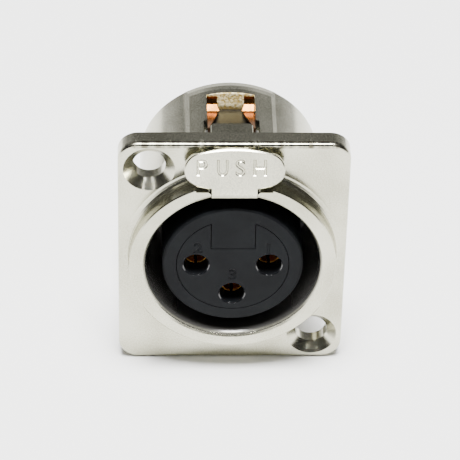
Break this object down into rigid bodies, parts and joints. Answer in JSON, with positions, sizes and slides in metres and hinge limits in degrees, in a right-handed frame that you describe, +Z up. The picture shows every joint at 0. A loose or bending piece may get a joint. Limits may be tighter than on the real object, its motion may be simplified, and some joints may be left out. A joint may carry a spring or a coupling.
{
  "type": "xlr panel socket",
  "caption": "Panel-mount audio socket for a round locking plug: rectangular nickel-plated flange, raised ring, black insert with pin holes, push latch and rear solder cups.",
  "frame": {"origin": "on the socket's axis, in the flange's mounting face, midway between the panel screws", "axes": "+Y into the panel along the socket's axis, +X to the right as seen from the front, +Z up towards the push latch"},
  "size_m": [0.026, 0.0263, 0.031],
  "materials": {
    "nickel_plated_casting": "satin nickel plate on zinc die casting",
    "spring_bronze": "bare rolled phosphor bronze",
    "black_nylon": "fine moulded matt",
    "gold_plated_brass": "turned and gold plated",
    "spring_steel": "oiled spring steel"
  },
  "bodies": {
    "socket": {"shell": "nickel_plated_casting", "latch_spring": "spring_bronze", "insert_sleeve": "black_nylon", "contact_block": "black_nylon", "rear_insulator": "black_nylon", "ground_strip": "spring_bronze", "retaining_ring": "spring_steel", "contact_1": "gold_plated_brass", "contact_2": "gold_plated_brass", "contact_3": "gold_plated_brass"},
    "latch": {"latch_lever": "nickel_plated_casting"}
  },
  "joints": [
    {"name": "latch_press", "type": "hinge", "parent": "socket", "child": "latch", "pos_m": [0, -0.0028, 0.01468], "axis": [1, 0, 0], "range_deg": [0, 9], "stiffness_Nm_per_rad": 0.02, "springref_deg": -5.73, "deforming": ["latch_spring"]}
  ]
}
